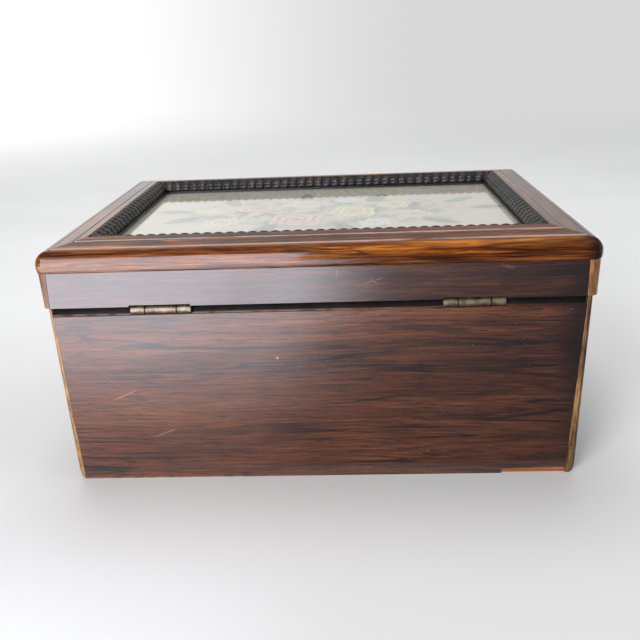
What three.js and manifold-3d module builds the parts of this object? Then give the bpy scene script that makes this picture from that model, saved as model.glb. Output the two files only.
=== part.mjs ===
// Rosewood veneer box with a hinged lid and a glazed picture in the lid's moulded frame.
// Millimetres, +Z up. The origin is the middle of the underside, the front faces -Y and the hinges are at +Y.
import * as THREE from "three";
import { ConvexGeometry } from "three/addons/geometries/ConvexGeometry.js";
import { mergeVertices } from "three/addons/utils/BufferGeometryUtils.js";
import Module from "manifold-3d";

// Driving dimensions
const LID_WIDTH = 280; // over the lid's veneered sides
const LID_DEPTH = 192;
const OVERHANG = 2; // lid beyond the case, all round
const VENEER = 1;
const BOARD = 8; // carcase walls of case and lid
const BOTTOM = 6;
const RIM = 103.5; // top of the case walls
const LID_FOOT = 104;
const LID_SHOULDER = 122.75; // top of the lid's sides
const PANEL = 2.5;
const CARD = 1;
const GLASS = 2;

// Bevel along the back wall's top edge
const BEVEL_START = 98.5; // height where it leaves the veneered face

// Corner edgings: how wide each shows on the back face, at its top and at its bottom
const CASE_EDGING = 3; // on the sides and the front, and into the corner
const LID_EDGING = 5;
const CASE_ROUND = 1.5; // radius of the edgings' outer corners
const LID_ROUND = 4;
const CASE_BACK_LEFT = { top: 2.5, bottom: 5 };
const CASE_BACK_RIGHT = { top: 1.75, bottom: 3 };
const LID_BACK_LEFT = { top: 6, bottom: 5.75 };
const LID_BACK_RIGHT = { top: 5, bottom: 4 };
const CASE_FRONT = { top: CASE_EDGING, bottom: CASE_EDGING };
const LID_FRONT = { top: LID_EDGING, bottom: LID_EDGING };
const WORN_FOOT = { height: 8, reach: 2.75 }; // corner worn off at the bottom of each case edging

// Strip of veneer lost along the bottom of the back, measured from the middle
const LOST_FROM = -98.25;
const LOST_HEIGHT = { near: 2.75, middle: 3.25, far: 3.5 };
const LOST_MIDDLE = -118;

// Frame moulding on the lid: insets from the lid's side, and heights
const BULGE = 0.75; // roundover beyond the lid's side
const FRAME_WIDTH = 21.25;
const FRAME_CREST = 135.75;
const ROUND_TOP = { inset: 5.75, height: 133.25 };
const ROUND_SPRING = 126; // height where the roundover starts
const GROOVE_WIDTH = 1.25;
const GROOVE_DEPTH = 0.5;
const INNER_GROOVE = { inset: 15, height: 134.75 };
const LIP = 1; // moulding's lip in front of the panel's edge
const REBATE_INSET = 12; // rebate for card and glass
const PANE_CLEARANCE = 0.5;

// Ripple slip between the frame and the glass
const SLIP_WIDTH = 8;
const SLIP_BACK_HEIGHT = 7; // above the glass, against the frame
const REEDS = 3;
const REED_DEPTH = 0.5;
const RIPPLE_PITCH = 5.9;
const RIPPLE_SWING = 0.4;
const SLIP_FILLET = { width: 1.5, height: 1.25 }; // plain strip along the glass

// Hinges
const HINGE_LENGTH = 31;
const HINGE_CENTRE = 79.5; // from the middle
const HINGE_AXIS = { inset: 1.25, height: 101.375 }; // inside the case's back face
const KNUCKLE_RADIUS = 2.25;
const KNUCKLE_BORE = 1;
const PIN_RADIUS = 0.9375;
const OUTER_KNUCKLE = 7.25;
const KNUCKLE_GAP = 0.25;
const LEAF = 1;
const CASE_LEAF_FOOT = 102.125;
const LID_LEAF_SUNK = 0.25; // lid leaf let into the lid's underside
const LEAF_INNER_EDGE = 86;
const HINGE_SLACK = 0.25; // wood to brass in the mortises, and leaf to the other leaf's knuckles
const LID_NOTCH = 0.875; // height of the notch over each barrel in the lid's back edge

// Worked-out sizes
const lidX = LID_WIDTH / 2;
const lidY = LID_DEPTH / 2;
const caseX = lidX - OVERHANG;
const caseY = lidY - OVERHANG;
const panelTop = LID_SHOULDER + PANEL;
const cardTop = panelTop + CARD;
const glassTop = cardTop + GLASS;
const ROUND_STEPS = 6;
const hingeY = caseY - HINGE_AXIS.inset;

// Finishes
const wood = (color, roughness) => new THREE.MeshStandardMaterial({ color, roughness, metalness: 0 });
const ROSEWOOD = wood(0x4a2a20, 0.3);
const MOULDING = wood(0x6b3a1c, 0.28);
const CARCASE = wood(0x9a6a45, 0.6);
const EDGING_WOOD = wood(0xb07c48, 0.5);
const EBONISED = wood(0x1c1a19, 0.4);
const PAPER = new THREE.MeshStandardMaterial({ color: 0xcfc7b0, roughness: 0.9 });
const PANE = new THREE.MeshStandardMaterial({ color: 0xf2f5f2, roughness: 0.05, transparent: true, opacity: 0.25 });
const BRASS = new THREE.MeshStandardMaterial({ color: 0xa8894a, roughness: 0.35, metalness: 1 });

// Solids: joining and cutting closed geometries
const wasm = await Module();
wasm.setup();

function solidOf(geometry) {
  const bare = geometry.index ? geometry.toNonIndexed() : geometry.clone();
  bare.deleteAttribute("normal");
  bare.deleteAttribute("uv");
  const merged = mergeVertices(bare, 1e-4);
  return new wasm.Manifold(
    new wasm.Mesh({
      numProp: 3,
      vertProperties: merged.attributes.position.array,
      triVerts: new Uint32Array(merged.index.array),
    }),
  );
}

function geometryOf(solid) {
  const mesh = solid.getMesh();
  return new THREE.BufferGeometry()
    .setAttribute("position", new THREE.BufferAttribute(mesh.vertProperties, 3))
    .setIndex(new THREE.BufferAttribute(mesh.triVerts, 1));
}

function cut(geometry, ...tools) {
  return geometryOf(tools.reduce((left, tool) => left.subtract(solidOf(tool)), solidOf(geometry)));
}

function join(...geometries) {
  return geometryOf(geometries.map(solidOf).reduce((whole, piece) => whole.add(piece)));
}

// Shapes
function block([x0, y0, z0], [x1, y1, z1]) {
  const box = new THREE.BoxGeometry(x1 - x0, y1 - y0, z1 - z0);
  return box.translate((x0 + x1) / 2, (y0 + y1) / 2, (z0 + z1) / 2);
}

const shapeOf = (points) => new THREE.Shape(points.map(([a, b]) => new THREE.Vector2(a, b)));

// A shape drawn in Y and Z, run along X
function alongX(shape, x0, x1, curveSegments = 12) {
  const run = new THREE.ExtrudeGeometry(shape, { depth: x1 - x0, bevelEnabled: false, curveSegments });
  const axes = new THREE.Matrix4().makeBasis(
    new THREE.Vector3(0, 1, 0),
    new THREE.Vector3(0, 0, 1),
    new THREE.Vector3(1, 0, 0),
  );
  return run.applyMatrix4(axes).translate(x0, 0, 0);
}

// An outline drawn in X and Z, as thick as the stretch from y0 to y1
function upright(points, y0, y1) {
  const run = new THREE.ExtrudeGeometry(shapeOf(points), { depth: y1 - y0, bevelEnabled: false });
  const axes = new THREE.Matrix4().makeBasis(
    new THREE.Vector3(1, 0, 0),
    new THREE.Vector3(0, 0, 1),
    new THREE.Vector3(0, -1, 0),
  );
  return run.applyMatrix4(axes).translate(0, y1, 0);
}

function piece(name, geometry, material) {
  const mesh = new THREE.Mesh(geometry, material);
  mesh.name = name;
  return mesh;
}

// Everything outside the round of an upright corner
function outsideRound(side, end, x, y, radius, z0, z1) {
  const points = [
    [x + 1, y - radius],
    [x + 1, y + 1],
    [x - radius, y + 1],
  ];
  for (let step = 0; step <= ROUND_STEPS; step += 1) {
    const angle = (Math.PI / 2) * (1 - step / ROUND_STEPS);
    points.push([x - radius + radius * Math.cos(angle), y - radius + radius * Math.sin(angle)]);
  }
  const shape = shapeOf(points.map(([a, b]) => [side * a, end * b]));
  return new THREE.ExtrudeGeometry(shape, { depth: z1 - z0, bevelEnabled: false }).translate(0, 0, z0);
}

// A strip let into a corner, its width on the back or front face running from top to bottom
function edging(side, end, x, y, z0, z1, width, deep) {
  const outline = [
    [side * (x - width.bottom), z0],
    [side * x, z0],
    [side * x, z1],
    [side * (x - width.top), z1],
  ];
  const ends = [end * (y - deep), end * y].sort((a, b) => a - b);
  return upright(side > 0 ? outline : outline.reverse(), ...ends);
}

// The corner worn off at the foot of a case edging
function wornCorner(side, end) {
  const point = (x, y, z) => new THREE.Vector3(side * x, end * y, z);
  const { height, reach } = WORN_FOOT;
  return new ConvexGeometry([
    point(caseX, caseY, height),
    point(caseX - reach, caseY, 0),
    point(caseX, caseY - reach, 0),
    point(caseX + reach, caseY + reach, 0),
    point(caseX + reach, caseY + reach, -reach),
  ]);
}

// Case
const CORNERS = [
  { name: "front_left", side: -1, end: -1, onCase: CASE_FRONT, onLid: LID_FRONT },
  { name: "front_right", side: 1, end: -1, onCase: CASE_FRONT, onLid: LID_FRONT },
  { name: "back_left", side: -1, end: 1, onCase: CASE_BACK_LEFT, onLid: LID_BACK_LEFT },
  { name: "back_right", side: 1, end: 1, onCase: CASE_BACK_RIGHT, onLid: LID_BACK_RIGHT },
];

function caseEdging({ side, end, onCase }) {
  return edging(side, end, caseX, caseY, 0, RIM, onCase, CASE_EDGING);
}

function caseEdgings() {
  return CORNERS.map((corner) => {
    const { name, side, end } = corner;
    const round = outsideRound(side, end, caseX, caseY, CASE_ROUND, -1, RIM + 1);
    return piece(`case_${name}_edging`, cut(caseEdging(corner), round, wornCorner(side, end)), EDGING_WOOD);
  });
}

// Room for each hinge: a barrel's stretch open to the back, and a leaf's stretch inside it
function hingeCuts(barrelFrom, barrelTo, leafFrom, leafTo) {
  const half = HINGE_LENGTH / 2 + HINGE_SLACK;
  const inner = hingeY - KNUCKLE_RADIUS - HINGE_SLACK;
  return [-HINGE_CENTRE, HINGE_CENTRE].flatMap((centre) => [
    block([centre - half, inner, barrelFrom], [centre + half, lidY + 1, barrelTo]),
    block([centre - half, LEAF_INNER_EDGE, leafFrom], [centre + half, lidY + 1, leafTo]),
  ]);
}

function caseHingeCuts() {
  return hingeCuts(HINGE_AXIS.height - KNUCKLE_RADIUS - HINGE_SLACK, RIM + 1, CASE_LEAF_FOOT, RIM + 1);
}

// Everything above the bevel's slope, along the whole back
function bevelTool() {
  const spare = 0.5;
  const slope = shapeOf([
    [caseY + spare, BEVEL_START - spare],
    [caseY + spare, RIM + spare],
    [caseY - (RIM - BEVEL_START) - spare, RIM + spare],
  ]);
  return alongX(slope, -lidX, lidX);
}

function caseBoards() {
  const outerX = caseX - VENEER;
  const outerY = caseY - VENEER;
  const innerX = outerX - BOARD;
  const innerY = outerY - BOARD;
  const strips = (end) => CORNERS.filter((corner) => corner.end === end).map(caseEdging);
  const front = block([-outerX, -outerY, 0], [outerX, -innerY, RIM]);
  const back = block([-outerX, innerY, 0], [outerX, outerY, RIM]);
  return [
    piece("case_front_board", cut(front, ...strips(-1)), CARCASE),
    piece("case_back_board", cut(back, ...strips(1), bevelTool(), ...caseHingeCuts()), CARCASE),
    piece("case_left_board", block([-outerX, -innerY, 0], [-innerX, innerY, RIM]), CARCASE),
    piece("case_right_board", block([innerX, -innerY, 0], [outerX, innerY, RIM]), CARCASE),
    piece("case_bottom_board", block([-innerX, -innerY, 0], [innerX, innerY, BOTTOM]), CARCASE),
  ];
}

// The back veneer's outline, with the strip lost along its bottom edge
function caseBackVeneer() {
  const sheet = upright(
    [
      [LOST_FROM, 0],
      [caseX - CASE_BACK_RIGHT.bottom, 0],
      [caseX - CASE_BACK_RIGHT.top, RIM],
      [CASE_BACK_LEFT.top - caseX, RIM],
      [CASE_BACK_LEFT.bottom - caseX, 0],
    ],
    caseY - VENEER,
    caseY,
  );
  const lost = upright(
    [
      [-caseX, -1],
      [LOST_FROM, -1],
      [LOST_FROM, LOST_HEIGHT.near],
      [LOST_MIDDLE, LOST_HEIGHT.middle],
      [-caseX, LOST_HEIGHT.far],
    ],
    caseY - 2 * VENEER,
    caseY + VENEER,
  );
  return cut(sheet, lost, bevelTool(), ...caseHingeCuts());
}

function caseVeneers() {
  const x = caseX - CASE_EDGING;
  const y = caseY - CASE_EDGING;
  return [
    piece("case_front_veneer", block([-x, -caseY, 0], [x, VENEER - caseY, RIM]), ROSEWOOD),
    piece("case_back_veneer", caseBackVeneer(), ROSEWOOD),
    piece("case_left_veneer", block([-caseX, -y, 0], [VENEER - caseX, y, RIM]), ROSEWOOD),
    piece("case_right_veneer", block([caseX - VENEER, -y, 0], [caseX, y, RIM]), ROSEWOOD),
  ];
}

// Lid sides
function lidEdging({ side, end, onLid }) {
  return edging(side, end, lidX, lidY, LID_FOOT, LID_SHOULDER, onLid, LID_EDGING);
}

function lidEdgings() {
  return CORNERS.map((corner) => {
    const { name, side, end } = corner;
    const round = outsideRound(side, end, lidX, lidY, LID_ROUND, LID_FOOT - 1, LID_SHOULDER + 1);
    return piece(`lid_${name}_edging`, cut(lidEdging(corner), round), EDGING_WOOD);
  });
}

// Notches in the lid's back edge over the barrels, and beds for the leaves in its underside
function lidHingeCuts() {
  return hingeCuts(LID_FOOT - 1, LID_FOOT + LID_NOTCH, LID_FOOT - 1, LID_FOOT + LID_LEAF_SUNK);
}

function lidBoards() {
  const outerX = lidX - VENEER;
  const outerY = lidY - VENEER;
  const innerX = outerX - BOARD;
  const innerY = outerY - BOARD;
  const strips = (end) => CORNERS.filter((corner) => corner.end === end).map(lidEdging);
  const front = block([-outerX, -outerY, LID_FOOT], [outerX, -innerY, LID_SHOULDER]);
  const back = block([-outerX, innerY, LID_FOOT], [outerX, outerY, LID_SHOULDER]);
  const left = block([-outerX, -innerY, LID_FOOT], [-innerX, innerY, LID_SHOULDER]);
  const right = block([innerX, -innerY, LID_FOOT], [outerX, innerY, LID_SHOULDER]);
  return [
    piece("lid_front_board", cut(front, ...strips(-1)), CARCASE),
    piece("lid_back_board", cut(back, ...strips(1), ...lidHingeCuts()), CARCASE),
    piece("lid_left_board", left, CARCASE),
    piece("lid_right_board", right, CARCASE),
  ];
}

function lidVeneers() {
  const x = lidX - LID_EDGING;
  const y = lidY - LID_EDGING;
  const back = upright(
    [
      [LID_BACK_LEFT.bottom - lidX, LID_FOOT],
      [lidX - LID_BACK_RIGHT.bottom, LID_FOOT],
      [lidX - LID_BACK_RIGHT.top, LID_SHOULDER],
      [LID_BACK_LEFT.top - lidX, LID_SHOULDER],
    ],
    lidY - VENEER,
    lidY,
  );
  const front = block([-x, -lidY, LID_FOOT], [x, VENEER - lidY, LID_SHOULDER]);
  const left = block([-lidX, -y, LID_FOOT], [VENEER - lidX, y, LID_SHOULDER]);
  const right = block([lidX - VENEER, -y, LID_FOOT], [lidX, y, LID_SHOULDER]);
  return [
    piece("lid_front_veneer", front, ROSEWOOD),
    piece("lid_back_veneer", cut(back, ...lidHingeCuts()), ROSEWOOD),
    piece("lid_left_veneer", left, ROSEWOOD),
    piece("lid_right_veneer", right, ROSEWOOD),
  ];
}

// Lid top: panel, picture card and glass
function lidTop() {
  const outerX = lidX - LIP;
  const outerY = lidY - LIP;
  const paneX = lidX - REBATE_INSET - PANE_CLEARANCE;
  const paneY = lidY - REBATE_INSET - PANE_CLEARANCE;
  return [
    piece("lid_panel", block([-outerX, -outerY, LID_SHOULDER], [outerX, outerY, panelTop]), CARCASE),
    piece("picture_card", block([-paneX, -paneY, panelTop], [paneX, paneY, cardTop]), PAPER),
    piece("picture_glass", block([-paneX, -paneY, cardTop], [paneX, paneY, glassTop]), PANE),
  ];
}

// Four mitred lengths round the lid, each made by a function of half its outer length
function mitredRing(prefix, suffix, make, material) {
  const lengths = { back: lidX, left: lidY, front: lidX, right: lidY };
  return Object.entries(lengths).map(([name, halfLength], turn) => {
    const out = name === "left" || name === "right" ? lidX : lidY;
    const mesh = piece(`${prefix}_${name}_${suffix}`, make(halfLength, out), material);
    mesh.rotation.z = (turn * Math.PI) / 2;
    return mesh;
  });
}

// The frame moulding's section, as inset from the lid's side and height
function frameSection() {
  const section = new THREE.Shape();
  section.moveTo(LIP, LID_SHOULDER);
  section.lineTo(LIP, panelTop);
  section.lineTo(REBATE_INSET, panelTop);
  section.lineTo(REBATE_INSET, glassTop);
  section.lineTo(FRAME_WIDTH, glassTop);
  section.lineTo(FRAME_WIDTH, FRAME_CREST);
  section.lineTo(INNER_GROOVE.inset + GROOVE_WIDTH, INNER_GROOVE.height + GROOVE_DEPTH / 2);
  section.lineTo(INNER_GROOVE.inset + GROOVE_WIDTH / 3, INNER_GROOVE.height - GROOVE_DEPTH);
  section.lineTo(INNER_GROOVE.inset, INNER_GROOVE.height);
  section.lineTo(ROUND_TOP.inset + GROOVE_WIDTH, ROUND_TOP.height + GROOVE_DEPTH);
  section.lineTo(ROUND_TOP.inset + GROOVE_WIDTH / 3, ROUND_TOP.height - GROOVE_DEPTH);
  section.lineTo(ROUND_TOP.inset, ROUND_TOP.height);
  section.absellipse(
    ROUND_TOP.inset,
    ROUND_SPRING,
    ROUND_TOP.inset + BULGE,
    ROUND_TOP.height - ROUND_SPRING,
    Math.PI / 2,
    Math.PI,
    false,
  );
  section.quadraticCurveTo(-BULGE, LID_SHOULDER, 0, LID_SHOULDER);
  return section;
}

// A moulding's section run along the back of the lid, with its ends cut to the mitre and its corners rounded
function mouldingLength(halfLength, out) {
  const run = new THREE.ExtrudeGeometry(frameSection(), { depth: 1, bevelEnabled: false, curveSegments: 6 });
  const place = run.attributes.position;
  for (let i = 0; i < place.count; i += 1) {
    const inset = place.getX(i);
    const end = place.getZ(i) > 0.5 ? 1 : -1;
    place.setXYZ(i, -end * (halfLength - inset), out - inset, place.getY(i));
  }
  const rounds = [-1, 1].map((side) =>
    outsideRound(side, 1, halfLength + BULGE, out + BULGE, LID_ROUND + BULGE, LID_SHOULDER - 1, FRAME_CREST + 1),
  );
  return cut(run, ...rounds);
}

// The ripple slip's section: reeds on a quarter round from the frame to a plain fillet along the glass
const slipEdge = FRAME_WIDTH + SLIP_WIDTH;
const slipCentre = new THREE.Vector2(FRAME_WIDTH, glassTop + SLIP_FILLET.height);

function slipSection() {
  const width = SLIP_WIDTH - SLIP_FILLET.width;
  const height = SLIP_BACK_HEIGHT - SLIP_FILLET.height;
  const section = [new THREE.Vector2(FRAME_WIDTH, glassTop), new THREE.Vector2(slipEdge, glassTop)];
  section.push(new THREE.Vector2(slipEdge, slipCentre.y));
  for (let step = 2 * REEDS; step >= 0; step -= 1) {
    const turn = (Math.PI / 2) * (step / (2 * REEDS));
    const rise = step % 2 === 1 ? REED_DEPTH : 0;
    const spoke = new THREE.Vector2((width + rise) * Math.sin(turn), (height + rise) * Math.cos(turn));
    section.push(spoke.add(slipCentre));
  }
  return new THREE.Shape(section);
}

// A rippled length along the back of the lid: one section at each wave's top and bottom, and at the mitres
function slipLength(halfLength, out) {
  const inner = halfLength - slipEdge;
  const bends = 2 * Math.floor((2 * inner) / RIPPLE_PITCH) - 1;
  const run = new THREE.ExtrudeGeometry(slipSection(), { depth: bends + 1, steps: bends + 1, bevelEnabled: false });
  const place = run.attributes.position;
  for (let i = 0; i < place.count; i += 1) {
    const inset = place.getX(i);
    const height = place.getY(i);
    const bend = Math.round(place.getZ(i));
    const atMitre = bend === 0 || bend === bends + 1;
    const end = bend === 0 ? -1 : 1;
    const x = atMitre ? end * (halfLength - inset) : inner * ((2 * bend - 1) / bends - 1) * (1 - 1 / bends);
    const onReeds = inset > FRAME_WIDTH && inset < slipEdge && height > slipCentre.y + REED_DEPTH;
    const spoke = new THREE.Vector2(inset, height).sub(slipCentre).normalize();
    const shift = atMitre || !onReeds ? 0 : RIPPLE_SWING * (bend % 2 === 1 ? 1 : -1);
    place.setXYZ(i, -x, out - inset - shift * spoke.x, height + shift * spoke.y);
  }
  return run;
}

// Hinges
function knuckle(x0, x1) {
  const ring = new THREE.Shape().absarc(0, 0, KNUCKLE_RADIUS, 0, 2 * Math.PI);
  ring.holes.push(new THREE.Path().absarc(0, 0, KNUCKLE_BORE, 0, 2 * Math.PI, true));
  return alongX(ring, x0, x1).translate(0, hingeY, HINGE_AXIS.height);
}

// A leaf lying between z0 and z1, joined to its knuckles, which lie on the given stretches of the hinge
function leaf(centre, z0, z1, stretches) {
  const edge = hingeY - KNUCKLE_RADIUS - HINGE_SLACK;
  const half = HINGE_LENGTH / 2;
  const overBore = z0 - HINGE_AXIS.height > KNUCKLE_BORE;
  const webEnd = overBore ? hingeY : hingeY - KNUCKLE_BORE;
  const plate = block([centre - half, LEAF_INNER_EDGE, z0], [centre + half, edge, z1]);
  const arms = stretches.flatMap(([from, to]) => {
    const web = block([centre + from, edge - 1, z0], [centre + to, webEnd, z1]);
    return [web, knuckle(centre + from, centre + to)];
  });
  return join(plate, ...arms);
}

function hinge(side) {
  const label = side < 0 ? "left" : "right";
  const centre = side * HINGE_CENTRE;
  const half = HINGE_LENGTH / 2;
  const split = half - OUTER_KNUCKLE;
  const pin = new THREE.Shape().absarc(0, 0, PIN_RADIUS, 0, 2 * Math.PI);
  const onCase = leaf(centre, CASE_LEAF_FOOT, CASE_LEAF_FOOT + LEAF, [
    [-half, -split],
    [split, half],
  ]);
  const lidLeafTop = LID_FOOT + LID_LEAF_SUNK;
  const onLid = leaf(centre, lidLeafTop - LEAF, lidLeafTop, [[KNUCKLE_GAP - split, split - KNUCKLE_GAP]]);
  const run = alongX(pin, centre - half, centre + half);
  run.translate(0, hingeY, HINGE_AXIS.height);
  return [
    piece(`${label}_hinge_case_leaf`, onCase, BRASS),
    piece(`${label}_hinge_lid_leaf`, onLid, BRASS),
    piece(`${label}_hinge_pin`, run, BRASS),
  ];
}

const box = new THREE.Group();
box.add(...caseBoards(), ...caseVeneers(), ...caseEdgings());
box.add(...lidBoards(), ...lidVeneers(), ...lidEdgings(), ...lidTop());
box.add(...mitredRing("frame", "moulding", mouldingLength, MOULDING));
box.add(...mitredRing("ripple", "slip", slipLength, EBONISED));
box.add(...hinge(-1), ...hinge(1));

export default box;
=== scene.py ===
"""Rosewood veneer box with a hinged, glazed lid: finishes, fine mouldings, stage, light and camera."""
import math
from collections import namedtuple

import bmesh
import bpy
from mathutils import Matrix, Vector


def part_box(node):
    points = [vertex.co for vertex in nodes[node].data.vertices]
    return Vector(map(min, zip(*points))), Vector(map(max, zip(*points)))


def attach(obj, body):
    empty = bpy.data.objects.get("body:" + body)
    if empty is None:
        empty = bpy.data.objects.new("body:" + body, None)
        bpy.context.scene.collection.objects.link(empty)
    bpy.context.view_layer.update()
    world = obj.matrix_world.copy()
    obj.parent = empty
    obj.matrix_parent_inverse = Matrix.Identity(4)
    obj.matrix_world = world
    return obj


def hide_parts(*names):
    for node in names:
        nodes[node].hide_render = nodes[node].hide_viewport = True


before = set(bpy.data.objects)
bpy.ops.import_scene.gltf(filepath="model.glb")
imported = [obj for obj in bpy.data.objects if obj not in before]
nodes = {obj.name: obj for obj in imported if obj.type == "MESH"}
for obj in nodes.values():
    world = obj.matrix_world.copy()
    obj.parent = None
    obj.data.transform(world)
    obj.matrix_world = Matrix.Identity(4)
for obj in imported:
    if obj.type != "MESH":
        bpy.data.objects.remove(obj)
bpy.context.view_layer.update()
MM = 0.001


# Sizes taken from the frame, in metres

LID_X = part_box("lid_right_veneer")[1][0]
LID_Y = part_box("lid_back_veneer")[1][1]
CASE_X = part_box("case_right_veneer")[1][0]
CASE_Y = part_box("case_back_veneer")[1][1]
CASE_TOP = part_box("case_back_veneer")[1][2]
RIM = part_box("case_front_board")[1][2]
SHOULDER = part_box("lid_back_board")[1][2]
PANEL_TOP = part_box("lid_panel")[1][2]
GLASS_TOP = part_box("picture_glass")[1][2]
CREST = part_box("frame_back_moulding")[1][2]

# Frame moulding: insets from the lid's side, and heights
BULGE = 0.75 * MM
LIP = 1 * MM
FRAME_WIDTH = 21.25 * MM
REBATE_INSET = 12 * MM
ROUND_SPRING = 126 * MM
ROUND_INSET = 5.75 * MM
ROUND_HEIGHT = 133.25 * MM
GROOVE_WIDTH = 1.25 * MM
GROOVE_DEPTH = 0.5 * MM
INNER_GROOVE_INSET = 15 * MM
INNER_GROOVE_HEIGHT = 134.75 * MM
CREST_ROUND = 0.5 * MM
CORNER_ROUND = 4.75 * MM
ROUND_STEPS = 16
CREST_STEPS = 3
CORNER_STEPS = 6
MOULDING_SMOOTH = 28

# Ripple slip between the frame and the glass
SLIP_WIDTH = 8 * MM
SLIP_HEIGHT = 7 * MM
FILLET_WIDTH = 1.5 * MM
FILLET_HEIGHT = 1.25 * MM
REEDS = 3
REED_STEPS = 6
REED_DEPTH = 0.5 * MM
RIPPLE_PITCH = 5.9 * MM
RIPPLE_SWING = 0.4 * MM
RIPPLE_STEPS = 10
RIPPLE_SMOOTH = 50

# Eased edges
BOARD_EASE = 0.4 * MM
VENEER_EASE = 0.12 * MM
EDGING_EASE = 0.25 * MM
BRASS_EASE = 0.2 * MM
GLASS_EASE = 0.3 * MM
GLASS_GAP = 0.05 * MM
EASE_SEGMENTS = 2
EASE_PROFILE = 0.5
EASED_FROM = math.radians(28)
FLAT_WITHIN = math.radians(0.5)
WELD = 1e-6
SLIVER = 1e-7
MICRONS = 1e6

# The back board's painted bevel: how far in and down it reaches, and which way its faces look
BEVEL_DEPTH = 8 * MM
BEVEL_FALL = 6 * MM
BEVEL_CLEAR = 0.1 * MM
LOOKS_OUT = 0.5
SLOPES = 0.3
BEVEL_FINISH = 1
RAW_FINISH = 2

# Hinge screws
HINGE_CENTRE = 79.5 * MM
KNUCKLE_JOINT = 8.25 * MM
SCREW_SPREAD = 9 * MM
SCREW_RADIUS = 1.3 * MM
SCREW_HEIGHT = 0.06 * MM
SCREW_SLOT = 0.3 * MM
SLOT_MIDDLE = 0.4 * SCREW_SLOT
SCREW_ROW = 88.1 * MM
SCREW_SIDES = 20
SCREW_SEED = 4
CASE_LEAF_FACE = 103.125 * MM
LID_LEAF_FACE = 103.25 * MM


# Node trees as sums

# Sockets of a colour Mix node
MIX_SHARE = 0
MIX_FIRST = 6
MIX_SECOND = 7
MIX_RESULT = 2


class Wire:
    """An output socket. Sums and products of wires and numbers add Math nodes to its tree."""

    def __init__(self, socket):
        self.socket = socket
        self.tree = socket.id_data

    @staticmethod
    def node(tree, kind, settings=None, inputs=None, out=0):
        """Adds a node, makes its settings, then fills its sockets with numbers or wires."""
        made = tree.nodes.new(kind)
        for key, value in (settings or {}).items():
            if key == "stops":
                ramp_stops(made.color_ramp, value)
            else:
                setattr(made, key, value)
        for key, value in (inputs or {}).items():
            if isinstance(value, Wire):
                tree.links.new(value.socket, made.inputs[key])
            else:
                made.inputs[key].default_value = value
        return Wire(made.outputs[out]) if made.outputs else None

    def maths(self, operation, *values):
        return Wire.node(self.tree, "ShaderNodeMath", {"operation": operation}, dict(enumerate(values)))

    def __add__(self, other):
        return self.maths("ADD", self, other)

    def __radd__(self, other):
        return self.maths("ADD", other, self)

    def __sub__(self, other):
        return self.maths("SUBTRACT", self, other)

    def __rsub__(self, other):
        return self.maths("SUBTRACT", other, self)

    def __mul__(self, other):
        return self.maths("MULTIPLY", self, other)

    def __rmul__(self, other):
        return self.maths("MULTIPLY", other, self)

    def __truediv__(self, other):
        return self.maths("DIVIDE", self, other)

    def __abs__(self):
        return self.maths("ABSOLUTE", self)

    def sine(self):
        return self.maths("SINE", self)

    def root(self):
        return self.maths("SQRT", self)

    def least(self, other):
        return self.maths("MINIMUM", self, other)

    def most(self, other):
        return self.maths("MAXIMUM", self, other)

    def step(self, low, high):
        """0 at low and 1 at high, with a smooth rise between them."""
        limits = {"Value": self, "From Min": low, "From Max": high}
        return Wire.node(self.tree, "ShaderNodeMapRange", {"interpolation_type": "SMOOTHSTEP"}, limits)

    def ramp(self, stops):
        return Wire.node(self.tree, "ShaderNodeValToRGB", {"stops": stops}, {"Fac": self})

    def blend(self, first, second):
        """The first colour where this wire is 0, and the second where it is 1."""
        values = {MIX_SHARE: self, MIX_FIRST: first, MIX_SECOND: second}
        return Wire.node(self.tree, "ShaderNodeMix", {"data_type": "RGBA"}, values, MIX_RESULT)


def ramp_stops(ramp, stops):
    while len(ramp.elements) < len(stops):
        ramp.elements.new(1.0)
    for element, (position, colour) in zip(ramp.elements, stops):
        element.position = position
        element.color = rgba(colour)


def rgba(colour):
    return (*colour, 1.0)


def new_tree(name):
    material = bpy.data.materials.new(name)
    material.use_nodes = True
    tree = material.node_tree
    tree.nodes.clear()
    return material, tree


def object_place(tree):
    return Wire.node(tree, "ShaderNodeTexCoord", out="Object")


def parts_of(place):
    split = Wire.node(place.tree, "ShaderNodeSeparateXYZ", None, {0: place})
    return tuple(Wire(socket) for socket in split.socket.node.outputs)


def noise(vector, scale, detail=3.0, roughness=0.55, distortion=0.0):
    values = {
        "Vector": vector,
        "Scale": scale,
        "Detail": detail,
        "Roughness": roughness,
        "Distortion": distortion,
    }
    return Wire.node(vector.tree, "ShaderNodeTexNoise", None, values)


def surface(tree, colour, roughness, bump=None, **plain):
    """One Principled surface. bump is a height wire with its strength and depth."""
    inputs = {"Base Color": colour, "Roughness": roughness}
    inputs.update({key.replace("_", " "): value for key, value in plain.items()})
    if bump:
        height, strength, depth = bump
        values = {"Height": height, "Strength": strength, "Distance": depth}
        inputs["Normal"] = Wire.node(tree, "ShaderNodeBump", None, values)
    shader = Wire.node(tree, "ShaderNodeBsdfPrincipled", None, inputs)
    Wire.node(tree, "ShaderNodeOutputMaterial", None, {"Surface": shader})


# Wood

GRAIN_AXES = {"X": 0, "Y": 1, "Z": 2}
GRAIN_SWAY = 6 * MM
SWAY_SCALE = 8.0
SEED_STEPS = (1.0, 2.3, 3.1)
NOISE_MIDDLE = 0.5
CLOUDY = (4, 0.6)

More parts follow.
